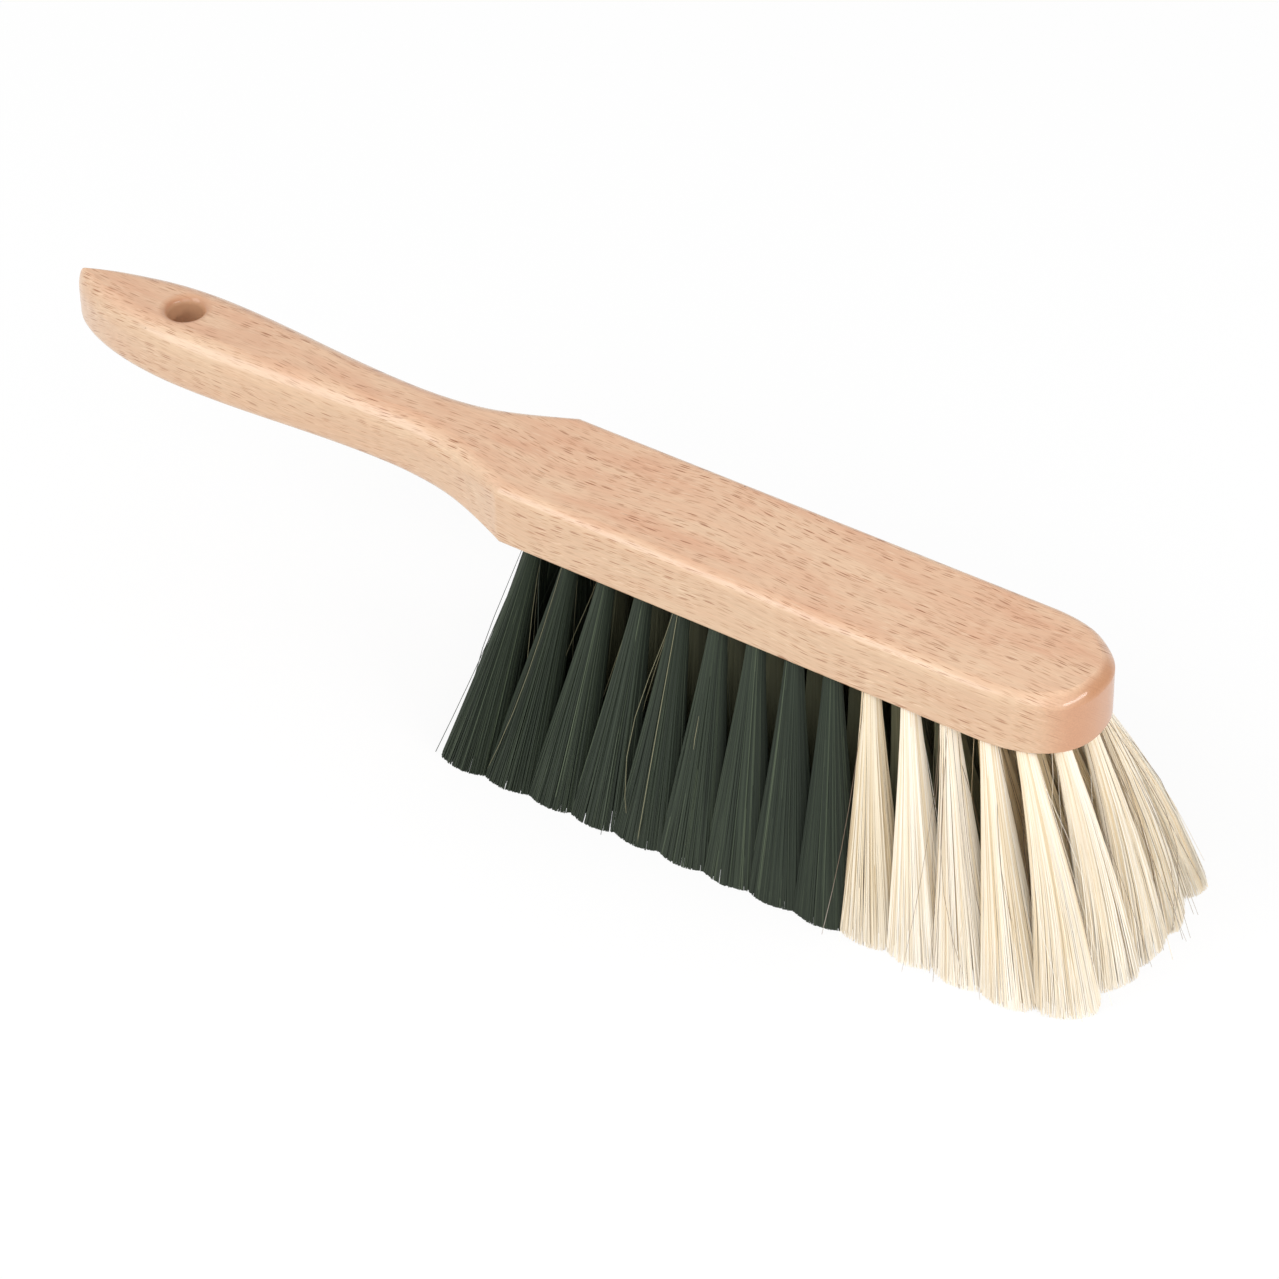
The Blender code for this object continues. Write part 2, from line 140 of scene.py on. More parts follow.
def whitePaper():
    # Matt paper, mostly plain white to the camera and in reflections, so that only a soft shadow shows on it
    paper = bpy.data.materials.new("whitePaper")
    paper.use_nodes = True
    tree = paper.node_tree
    tree.nodes.clear()
    matt = addNode(tree, "ShaderNodeBsdfDiffuse", {"Color": toLinear(light["paper"])})
    white = addNode(tree, "ShaderNodeEmission", {"Color": (1, 1, 1, 1), "Strength": 1.0})
    path = addNode(tree, "ShaderNodeLightPath").outputs
    seen = addNode(tree, "ShaderNodeMath", {0: path["Is Camera Ray"], 1: path["Is Glossy Ray"]},
                   operation="MAXIMUM")
    seen = addNode(tree, "ShaderNodeMath", {0: seen, 1: path["Is Transmission Ray"]}, operation="MAXIMUM")
    seen = addNode(tree, "ShaderNodeMath", {0: seen, 1: 1 - light["paperShadowShare"]}, operation="MULTIPLY")
    mix = addNode(tree, "ShaderNodeMixShader", {0: seen, 1: matt, 2: white})
    addNode(tree, "ShaderNodeOutputMaterial", {"Surface": mix})
    return paper


def makeStage():
    world = bpy.data.worlds.new("studio")
    bpy.context.scene.world = world
    world.use_nodes = True
    sky = world.node_tree.nodes["Background"]
    sky.inputs["Color"].default_value = toLinear(light["skyColour"])
    sky.inputs["Strength"].default_value = light["sky"]
    for name, (origin, width, height, watts) in light["softboxes"].items():
        makeSoftbox(name, origin, width, height, watts)
    shape = bmesh.new()
    bmesh.ops.create_grid(shape, x_segments=1, y_segments=1, size=light["paperReach"])
    floor = meshObject("floor", shape)
    floor.data.materials.append(whitePaper())
    bpy.context.scene.view_settings.view_transform = "Standard"


makeStage()
print("stage ready")


# Stock: the outline drawn in by rounded edges at the top and bottom, then drilled. The shoulder is where the
# handle meets the head
stock = {
    "headLength": 158.4 * mm, "headWidth": 36 * mm, "noseLength": 24.6 * mm, "noseExponent": 2.3,
    "handleLength": 143.7 * mm, "gripWidth": 24 * mm, "gripFromTip": 39.9 * mm, "tipExponent": 0.70,
    "neckWidth": 17.3 * mm, "neckFromShoulder": 42.5 * mm, "flareExponent": 2.1,
    "headTopRadius": 3.4 * mm, "headBottomRadius": 1 * mm, "gripTopRadius": 5.8 * mm,
    "gripBottomRadius": 3.3 * mm, "tipTopRadius": 6.5 * mm, "tipBottomRadius": 3 * mm,
    "tipInsetReserve": 4 * mm, "tipInsetShare": 0.6, "edgeBlend": 26 * mm, "edgeExponent": 2.0,
    "noseEdgeExponent": 1.3, "noseEdgeFrom": 0.3, "noseEdgeBlend": 0.4,  # by how far a side looks to the nose
    "hangHole": 9 * mm, "hangHoleFromTip": 34.8 * mm, "hangRim": 2.2 * mm,
    "tuftHole": 4.2 * mm, "tuftHoleDepth": 9 * mm, "lastTuftFromNose": 22.2 * mm,
    "overrun": 2 * mm,  # how far each cutter stands out of the wood
    # Steps along the outline, up the side, and round the holes
    "steps": {"tip": 28, "handle": 60, "head": 24, "nose": 40, "noseFine": 2000,
              "bottomEdge": 5, "side": 4, "topEdge": 10, "hangHole": 72, "hangRim": 10, "tuftHole": 20},
    "sharpAngle": 38,
}
shoulderX = stockLow.x + stock["handleLength"]
stockBottom, stockTop = stockLow.z, stockHigh.z
hangHoleX = stockLow.x + stock["hangHoleFromTip"]


def ease(share):
    return (1 - math.cos(math.pi * min(max(share, 0), 1))) / 2


def handleHalf(fromTip):
    grip, neck = stock["gripWidth"] / 2, stock["neckWidth"] / 2
    neckFromTip = stock["handleLength"] - stock["neckFromShoulder"]
    if fromTip <= stock["gripFromTip"]:
        return grip * (1 - (1 - fromTip / stock["gripFromTip"]) ** 2) ** stock["tipExponent"]
    if fromTip <= neckFromTip:
        share = (fromTip - stock["gripFromTip"]) / (neckFromTip - stock["gripFromTip"])
        return grip + (neck - grip) * ease(share)
    share = (fromTip - neckFromTip) / stock["neckFromShoulder"]
    return neck + (stock["headWidth"] / 2 - neck) * share ** stock["flareExponent"]


def nosePoint(turn):
    power = 2 / stock["noseExponent"]
    angle = turn * math.pi / 2
    return (stock["headLength"] - stock["noseLength"] + stock["noseLength"] * math.sin(angle) ** power,
            stock["headWidth"] / 2 * max(math.cos(angle), 0) ** power)


def stockSide():
    # Points (x from the shoulder, half width) from the handle's tip to the nose
    length, grip, steps = stock["handleLength"], stock["gripFromTip"], stock["steps"]
    places = [grip * (1 - math.cos(math.pi / 2 * i / steps["tip"])) for i in range(steps["tip"])]
    places += [grip + (length - grip) * i / steps["handle"] for i in range(steps["handle"])]
    side = [(place - length, handleHalf(place)) for place in places]
    straight = stock["headLength"] - stock["noseLength"]
    side += [(straight * i / steps["head"], stock["headWidth"] / 2) for i in range(steps["head"])]
    # Even steps of arc round the nose. The tiny step back keeps rounding from passing the last point
    fine = [nosePoint(i / steps["noseFine"]) for i in range(steps["noseFine"] + 1)]
    run = np.concatenate([[0], np.cumsum(np.hypot(*np.diff(np.array(fine), axis=0).T))])
    for i in range(steps["nose"] + 1):
        side.append(fine[int(np.searchsorted(run, run[-1] * i / steps["nose"] - 1e-12))])
    return side


def edgeRadii(x):
    share = ease(-x / stock["edgeBlend"])
    bottom = stock["headBottomRadius"] + (stock["gripBottomRadius"] - stock["headBottomRadius"]) * share
    top = stock["headTopRadius"] + (stock["gripTopRadius"] - stock["headTopRadius"]) * share
    share = 1 - ease((x + stock["handleLength"]) / stock["gripFromTip"])
    return (bottom + (stock["tipBottomRadius"] - bottom) * share, top + (stock["tipTopRadius"] - top) * share)


def drawnIn(point, normal, radius, share):
    # An outline point moved inwards by a share of an edge radius, or by less where the tip is narrow
    fromTip = max(point.x + stock["handleLength"], 0)
    if fromTip >= stock["gripFromTip"]:
        return point - normal * radius * share
    left = 1 - fromTip / stock["gripFromTip"]
    room = abs(point.y) + stock["tipInsetReserve"] * left ** 2
    inset = min(radius, room * stock["tipInsetShare"]) * share
    return Vector((point.x + inset * left ** 3, point.y * (1 - inset / room)))


def stockShape():
    side, steps = stockSide(), stock["steps"]
    points = [Vector((x, -y)) for x, y in side] + [Vector((x, y)) for x, y in reversed(side[1:-1])]
    count = len(points)
    shape = bmesh.new()
    rings = []
    levels = [("bottom", a) for a in np.linspace(0, 90, steps["bottomEdge"] + 1)]
    levels += [("side", i / steps["side"]) for i in range(1, steps["side"])]
    levels += [("top", a) for a in np.linspace(0, 90, steps["topEdge"] + 1)]
    for zone, amount in levels:
        angle = math.radians(amount)
        ring = []
        for i, point in enumerate(points):
            way = (point - points[i - 1]).normalized() + (points[(i + 1) % count] - point).normalized()
            normal = Vector((way.y, -way.x)).normalized()
            bottomRadius, topRadius = edgeRadii(point.x)
            if zone == "bottom":
                spot = drawnIn(point, normal, bottomRadius, 1 - math.sin(angle))
                height = stockBottom + bottomRadius * (1 - math.cos(angle))
            elif zone == "top":
                # The rounding has been sanded flatter round the nose
                flatter = ease((normal.x - stock["noseEdgeFrom"]) / stock["noseEdgeBlend"])
                power = stock["noseEdgeExponent"] - stock["edgeExponent"]
                power = 2 / (stock["edgeExponent"] + power * flatter)
                spot = drawnIn(point, normal, topRadius, 1 - max(math.cos(angle), 0) ** power)
                height = stockTop - topRadius * (1 - math.sin(angle) ** power)
            else:
                low, high = stockBottom + bottomRadius, stockTop - topRadius
                spot, height = point, low + (high - low) * amount
            ring.append(shape.verts.new((spot.x + shoulderX, spot.y, height)))
        rings.append(ring)
    for lower, upper in zip(rings, rings[1:]):
        for i in range(count):
            shape.faces.new((lower[i], lower[(i + 1) % count], upper[(i + 1) % count], upper[i]))
    shape.faces.new(reversed(rings[0]))
    shape.faces.new(rings[-1])
    bmesh.ops.recalc_face_normals(shape, faces=shape.faces)
    return shape


def hangHoleShape():
    bore, rim, overrun, steps = stock["hangHole"] / 2, stock["hangRim"], stock["overrun"], stock["steps"]
    arc = [(bore + rim * (1 - math.sin(a)), rim * (1 - math.cos(a)))
           for a in np.linspace(0, math.pi / 2, steps["hangRim"] + 1)]
    profile = [(arc[0][0], stockTop + overrun)] + [(r, stockTop - d) for r, d in arc]
    profile += [(r, stockBottom + d) for r, d in reversed(arc)] + [(arc[0][0], stockBottom - overrun)]
    sides = steps["hangHole"]
    angles = [2 * math.pi * i / sides for i in range(sides)]
    shape = bmesh.new()
    rings = [[shape.verts.new((hangHoleX + r * math.cos(a), r * math.sin(a), z)) for a in angles]
             for r, z in profile]
    for upper, lower in zip(rings, rings[1:]):
        for i in range(sides):
            j = (i + 1) % sides
            shape.faces.new((upper[i], lower[i], lower[j], upper[j]))
    shape.faces.new(rings[0])
    shape.faces.new(reversed(rings[-1]))
    bmesh.ops.recalc_face_normals(shape, faces=shape.faces)
    return shape


# How a CAD tuft is read: its tips lie below a height over the floor, and its plug above one over the stock's
# underside
cadTuft = {"tipsBelow": 0.05 * mm, "plugAbove": 4 * mm, "decimals": 6}


def tuftFacts(name):
    # Root and tips of a tuft, read from its CAD strands: the mouth of its hole, the middle of its trimmed
    # tips, and how far the tips reach along their row and across it
    points = np.array([v.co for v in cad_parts[name].data.vertices])
    tips = np.unique(np.round(points[points[:, 2] < cadTuft["tipsBelow"]], cadTuft["decimals"]), axis=0)
    plug = points[points[:, 2] > stockBottom + cadTuft["plugAbove"]]
    tip = tips.mean(axis=0)
    deep = plug.mean(axis=0)
    root = deep + (tip - deep) * (stockBottom - deep[2]) / (tip[2] - deep[2])
    rowEnd = shoulderX + stock["headLength"] - stock["lastTuftFromNose"]
    rowWay = np.array([1.0, 0.0])
    if "nose" in name:
        rowWay = np.array([-root[1], root[0] - rowEnd])
        rowWay /= np.linalg.norm(rowWay)
    acrossWay = np.array([-rowWay[1], rowWay[0]])
    spread = np.cov(tips[:, :2].T)
    alongReach = rowWay * math.sqrt(rowWay @ spread @ rowWay)
    acrossReach = acrossWay * math.sqrt(acrossWay @ spread @ acrossWay)
    return Vector(root), Vector(tip), Vector((*alongReach, 0)), Vector((*acrossReach, 0))


def drillShape(drilled):
    shape = bmesh.new()
    radius, overrun = stock["tuftHole"] / 2, stock["overrun"]
    for root, tip, alongReach, acrossReach in drilled:
        down = (tip - root).normalized()
        turn = down.to_track_quat("Z", "Y").to_matrix().to_4x4()
        turn.translation = root + down * (overrun - stock["tuftHoleDepth"]) / 2
        bmesh.ops.create_cone(shape, cap_ends=True, segments=stock["steps"]["tuftHole"], radius1=radius,
                              radius2=radius, depth=stock["tuftHoleDepth"] + overrun, matrix=turn)
    return shape


# Beech, steamed, planed and sanded, under a thin clear lacquer: pinkish tan with soft tan blotches, the
# short dark dashes that cut rays leave along the grain, and pale flecks among them. The nose, cut across the
# grain, is pinker and plain
holeEdge = stock["hangHole"] / 2
# Some of these colours hold painted light: the side, end grain and bore colours are partly painted shade, the
# brown of the nose rounding and of the hole's lip is painted shade, and the edge cream is a painted highlight
beech = {
    "pale": "#E7C2A1", "pink": "#DEAE8D", "side": "#CAAC8C", "edge": "#EAD2B6", "endGrain": "#C48F6C",
    "paintedNoseShade": "#BE8458", "dash": "#94562F", "fineDash": "#A86C42", "fleck": "#F6DCBD", "dot": "#6E4630",
    "lip": "#BF8660", "bore": "#C49A78",
    "layers": {  # what each noise draws: length and width of a patch in millimetres, detail, shift
        "band": (90.0, 7.0, 3.0, 0.0), "blotch": (20.0, 6.0, 2.0, 5.0), "fibre": (14.0, 0.40, 2.0, 9.0),
        "region": (45.0, 5.0, 1.0, 2.6),
    },
    "marks": {  # stretched cells with one mark each: length, width, its radius, rarest that shows, shift
        "dash": (5.4, 0.36, 0.42, 0.25, 13.0), "fineDash": (4.0, 0.27, 0.44, 0.10, 17.0),
        "fleck": (4.4, 0.40, 0.42, 0.30, 21.0),
    },
    "blotchShare": 0.5, "markCore": 0.5, "markStrength": {"fleck": 0.35, "fineDash": 0.60, "dash": 0.85},
    "rayAngle": 41, "rayDepth": 14.0, "grainTurn": -1.5, "wander": 5.0, "wanderEvery": 40.0,
    "dotRadius": 0.32, "dotEvery": 17.0, "dotRim": 1.4, "dotCore": 0.5, "dotStrength": 0.8,
    "spans": {  # where each feature starts and where it is full, and how strong it gets
        "tone": {"From Min": 0.38, "From Max": 0.62},
        "side": {"From Min": 0.45, "From Max": 0.95, "To Max": 0.6},
        "edge": {"From Min": 0.12, "From Max": 0.48, "To Max": 0.2},
        "endGrain": {"From Min": 0.30, "From Max": 0.85, "To Max": 0.9},
        "paintedNoseShadeAbove": {"From Min": stockTop - 3.2 * mm, "From Max": stockTop - 2.2 * mm},
        "paintedNoseShadeBelow": {"From Min": stockTop - 0.2 * mm, "From Max": stockTop - 1.0 * mm},
        "paintedNoseShadeFront": {"From Min": 0.50, "From Max": 0.20, "To Max": 0.75},
        "streak": {"From Min": 0.3, "From Max": 0.7, "To Min": 0.94, "To Max": 1.05},
        "region": {"From Min": 0.4, "From Max": 0.6, "To Min": 0.5, "To Max": 1.1},
        "lip": {"From Min": holeEdge + 2.6 * mm, "From Max": holeEdge + 0.5 * mm, "To Max": 0.75},
        "bore": {"From Min": holeEdge + 0.5 * mm, "From Max": holeEdge + 0.1 * mm, "To Max": 0.85},
        "roughness": {"To Min": 0.38, "To Max": 0.52},
    },
    "boreRoughness": 0.25, "fibreRelief": 0.35, "bumpStrength": 0.25, "bumpDepth": 0.05 * mm,
    "ior": 1.5, "specular": 0.3, "coat": 0.7, "coatRoughness": 0.14,  # thin lacquer, silky rather than glassy
}


def lacqueredBeech():
    material = bpy.data.materials.new("lacqueredBeech")
    material.use_nodes = True
    tree = material.node_tree
    shader = tree.nodes["Principled BSDF"]
    spans = beech["spans"]
    spot = addNode(tree, "ShaderNodeTexCoord").outputs
    # Millimetres along the grain, along the rays and across them: the rays stand askew to the flat top
    rayTurn = (math.radians(beech["rayAngle"]), 0, math.radians(beech["grainTurn"]))
    grain = addNode(tree, "ShaderNodeMapping", {"Vector": spot["Object"], "Scale": (1 / mm, 1 / mm, 1 / mm),
                                                "Rotation": rayTurn})
    # The grain wanders a little from straight
    wander = addNode(tree, "ShaderNodeTexNoise", {"Vector": grain, "Scale": 1 / beech["wanderEvery"],
                                                  "Detail": 1.0})
    wander = addNode(tree, "ShaderNodeVectorMath", {0: wander.outputs["Color"], 2: grain,
                                                    1: (0, beech["wander"], beech["wander"])},
                     operation="MULTIPLY_ADD")
    layers = {}
    for name, (length, width, detail, shift) in beech["layers"].items():
        place = addNode(tree, "ShaderNodeVectorMath", {0: wander, 1: (1 / length, 1 / width, 1 / width),
                                                       2: (shift, shift, shift)}, operation="MULTIPLY_ADD")
        layers[name] = addNode(tree, "ShaderNodeTexNoise", {"Vector": place, "Scale": 1.0, "Detail": detail})
    marks = {}
    for name, (length, width, radius, rarest, shift) in beech["marks"].items():
        stretch = (1 / length, 1 / beech["rayDepth"], 1 / width)
        place = addNode(tree, "ShaderNodeVectorMath", {0: wander, 1: stretch, 2: (shift, shift, shift)},
                        operation="MULTIPLY_ADD")
        cells = addNode(tree, "ShaderNodeTexVoronoi", {"Vector": place, "Scale": 1.0, "Randomness": 1.0})
        mark = addNode(tree, "ShaderNodeMapRange", {"Value": cells, "From Min": radius,
                                                    "From Max": radius * beech["markCore"]},
                       interpolation_type="SMOOTHSTEP")
        dice = addNode(tree, "ShaderNodeSeparateXYZ", {0: cells.outputs["Color"]})
        strength = addNode(tree, "ShaderNodeMapRange", {"Value": dice, "From Min": rarest, "From Max": 1.0})
        marks[name] = addNode(tree, "ShaderNodeMath", {0: mark, 1: strength}, operation="MULTIPLY")

    # Ground colour: pale wood turning pink in bands and blotches
    tone = addNode(tree, "ShaderNodeMix", {0: beech["blotchShare"], 2: layers["band"], 3: layers["blotch"]})
    tone = addNode(tree, "ShaderNodeMapRange", {"Value": tone, **spans["tone"]})
    colour = addNode(tree, "ShaderNodeMix", {0: tone, 6: toLinear(beech["pale"]), 7: toLinear(beech["pink"])},
                     data_type="RGBA").outputs[2]
    # The sides are cut along the rays and are creamier than the top. Their colour is also darker than the
    # top's: painted shade that evens out the extra lamp light on the sides
    facing = addNode(tree, "ShaderNodeSeparateXYZ", {0: spot["Normal"]})
    askew = addNode(tree, "ShaderNodeMath", {0: facing.outputs[1]}, operation="ABSOLUTE")
    side = addNode(tree, "ShaderNodeMapRange", {"Value": askew, **spans["side"]},
                   interpolation_type="SMOOTHSTEP")
    # Painted highlight: the rounding along the top is painted palest, where its lacquer catches the lamps
    edge = addNode(tree, "ShaderNodeMath", {0: askew, 1: facing.outputs[2]}, operation="MULTIPLY")
    edge = addNode(tree, "ShaderNodeMapRange", {"Value": edge, **spans["edge"]},
                   interpolation_type="SMOOTHSTEP")
    # End grain shows where the surface looks along the grain, towards the nose. It is pinker, and darker
    # partly as painted shade, since the nose faces away from the main lamps
    end = addNode(tree, "ShaderNodeMapRange", {"Value": facing, **spans["endGrain"]},
                  interpolation_type="SMOOTHSTEP")
    # Painted shade: a brown band on the rounding over the end grain, where that rounding turns away from the
    # lamps
    height = addNode(tree, "ShaderNodeSeparateXYZ", {0: spot["Object"]}).outputs[2]
    above = addNode(tree, "ShaderNodeMapRange", {"Value": height, **spans["paintedNoseShadeAbove"]})
    below = addNode(tree, "ShaderNodeMapRange", {"Value": height, **spans["paintedNoseShadeBelow"]})
    front = addNode(tree, "ShaderNodeMapRange", {"Value": askew, **spans["paintedNoseShadeFront"]})
    front = addNode(tree, "ShaderNodeMath", {0: front, 1: end}, operation="MULTIPLY")
    paintedNoseShade = addNode(tree, "ShaderNodeMath", {0: above, 1: below}, operation="MULTIPLY")
    paintedNoseShade = addNode(tree, "ShaderNodeMath", {0: paintedNoseShade, 1: front}, operation="MULTIPLY")
    for name, share in {"side": side, "edge": edge, "endGrain": end, "paintedNoseShade": paintedNoseShade}.items():
        colour = addNode(tree, "ShaderNodeMix", {0: share, 6: colour, 7: toLinear(beech[name])},
                         data_type="RGBA").outputs[2]
    # Fine streaks along the grain
    streak = addNode(tree, "ShaderNodeMapRange", {"Value": layers["fibre"], **spans["streak"]})
    colour = addNode(tree, "ShaderNodeVectorMath", {0: colour, "Scale": streak}, operation="SCALE")
    # Flecks and dashes are stronger in some bands, and fade out on the end grain
    plain = addNode(tree, "ShaderNodeMath", {0: end, 1: -1.0, 2: 1.0}, operation="MULTIPLY_ADD")
    strong = addNode(tree, "ShaderNodeMapRange", {"Value": layers["region"], **spans["region"]})
    plain = addNode(tree, "ShaderNodeMath", {0: plain, 1: strong}, operation="MULTIPLY")
    for name, most in beech["markStrength"].items():
        shown = addNode(tree, "ShaderNodeMath", {0: plain, 1: most}, operation="MULTIPLY")
        shown = addNode(tree, "ShaderNodeMath", {0: shown, 1: marks[name]}, operation="MULTIPLY")
        colour = addNode(tree, "ShaderNodeMix", {0: shown, 6: colour, 7: toLinear(beech[name])},
                         data_type="RGBA").outputs[2]
    # A few small dark knots, no more than dots
    dots = addNode(tree, "ShaderNodeTexVoronoi", {"Vector": grain, "Scale": 1 / beech["dotEvery"],
                                                  "Randomness": 1.0})
    dotShare = beech["dotRadius"] / beech["dotEvery"]
    dot = addNode(tree, "ShaderNodeMapRange", {"Value": dots, "From Min": dotShare * beech["dotRim"],
                                               "From Max": dotShare * beech["dotCore"],
                                               "To Max": beech["dotStrength"]})
    # The hanging hole's lip is painted browner, as painted shade round its mouth. Its drilled wall is browner
    # still, partly for its cut grain and partly as painted shade inside the hole, and it is rougher too
    centre = addNode(tree, "ShaderNodeMapping", {"Vector": spot["Object"], "Scale": (1, 1, 0),
                                                 "Location": (-hangHoleX, 0, 0)})
    reach = addNode(tree, "ShaderNodeVectorMath", {0: centre}, operation="LENGTH").outputs["Value"]
    lip = addNode(tree, "ShaderNodeMapRange", {"Value": reach, **spans["lip"]})
    bore = addNode(tree, "ShaderNodeMapRange", {"Value": reach, **spans["bore"]})
    for name, share in {"dot": dot, "lip": lip, "bore": bore}.items():
        colour = addNode(tree, "ShaderNodeMix", {0: share, 6: colour, 7: toLinear(beech[name])},
                         data_type="RGBA").outputs[2]
    tree.links.new(colour, shader.inputs["Base Color"])

    rough = addNode(tree, "ShaderNodeMapRange", {"Value": layers["fibre"], **spans["roughness"]})
    rough = addNode(tree, "ShaderNodeMath", {0: bore, 1: beech["boreRoughness"], 2: rough},
                    operation="MULTIPLY_ADD")
    tree.links.new(rough.outputs[0], shader.inputs["Roughness"])
    relief = addNode(tree, "ShaderNodeMath", {0: layers["fibre"], 1: beech["fibreRelief"]},
                     operation="MULTIPLY")
    relief = addNode(tree, "ShaderNodeMath", {0: relief, 1: marks["dash"]}, operation="SUBTRACT")
    bump = addNode(tree, "ShaderNodeBump", {"Height": relief, "Strength": beech["bumpStrength"],
                                            "Distance": beech["bumpDepth"]})
    tree.links.new(bump.outputs[0], shader.inputs["Normal"])
    shader.inputs["IOR"].default_value = beech["ior"]
    shader.inputs["Specular IOR Level"].default_value = beech["specular"]
    shader.inputs["Coat Weight"].default_value = beech["coat"]
    shader.inputs["Coat Roughness"].default_value = beech["coatRoughness"]
    shader.inputs["Coat IOR"].default_value = beech["ior"]
    return material


def bake(item):
    # The evaluated mesh replaces the object's own one, and its modifiers go
    graph = bpy.context.evaluated_depsgraph_get()
    mesh = bpy.data.meshes.new_from_object(item.evaluated_get(graph))
    item.modifiers.clear()
    item.data = mesh
    mesh.name = item.name
    return item


def makeStock(drilled):
    piece = meshObject("stockBeech", stockShape())
    cutters = [meshObject("hangHoleCutter", hangHoleShape()), meshObject("drillCutter", drillShape(drilled))]
    for cutter in cutters:
        knife = piece.modifiers.new(cutter.name, "BOOLEAN")
        knife.operation = "DIFFERENCE"
        knife.solver = "EXACT"
        knife.object = cutter
    bake(piece)
    for cutter in cutters:
        bpy.data.objects.remove(cutter)
    piece.data.materials.clear()
    piece.data.materials.append(lacqueredBeech())
    piece.data.shade_smooth()
    piece.data.set_sharp_from_angle(angle=math.radians(stock["sharpAngle"]))
    even = piece.modifiers.new("even shading", "WEIGHTED_NORMAL")
    even.keep_sharp = True
    even.weight = 100  # the large flat faces shade flat
    bake(piece)
    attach(piece, "root")
    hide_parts("beech_stock")
    return piece


tuftNames = sorted(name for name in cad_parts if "tuft" in name)
tufts = {name: tuftFacts(name) for name in tuftNames}
makeStock(list(tufts.values()))
print("stock drilled:", len(tufts), "tuft holes")


# Hair: horse tail and mane hair, folded over the anchor and trimmed to one plane. Real hairs are 0.1 to
# 0.25 mm thick. A name here that is also an input of the tree, such as locks, is that input's default
hair = {
    "hairs": 680, "steps": 7, "rootRadius": 1.85 * mm, "inHole": 3.0 * mm,
    "spreadAcross": 1.75, "spreadInner": 2.35,  # tips reach so many deviations of the CAD tips
    "crowding": 1.45, "flare": 1.22, "locks": 3.2, "lockPull": 0.07, "bow": 0.3 * mm,
    "jitter": 0.02, "strayThickness": 0.6, "squareness": 0.3, "noseBulge": 0.12,
    "rimAt": 1.12, "rimSpread": 0.14, "leastThick": 0.75, "mostThick": 1.2,
    "bowPower": 1.3, "leanPower": 1.6,  # above 1, the bend comes later along the hair
    "shortPower": 3.0,  # above 1, fewer hairs fall short
    "wanderTurns": 2.2, "hairApart": 3.71, "lockApart": 0.37,  # cells of noise, along a hair and between them
    "plainTonesFrom": 0.1, "oddStrays": 0.5,
    "sides": 3, "tilt": -30, "firstSeed": 40, "seedStep": 101.0,
}


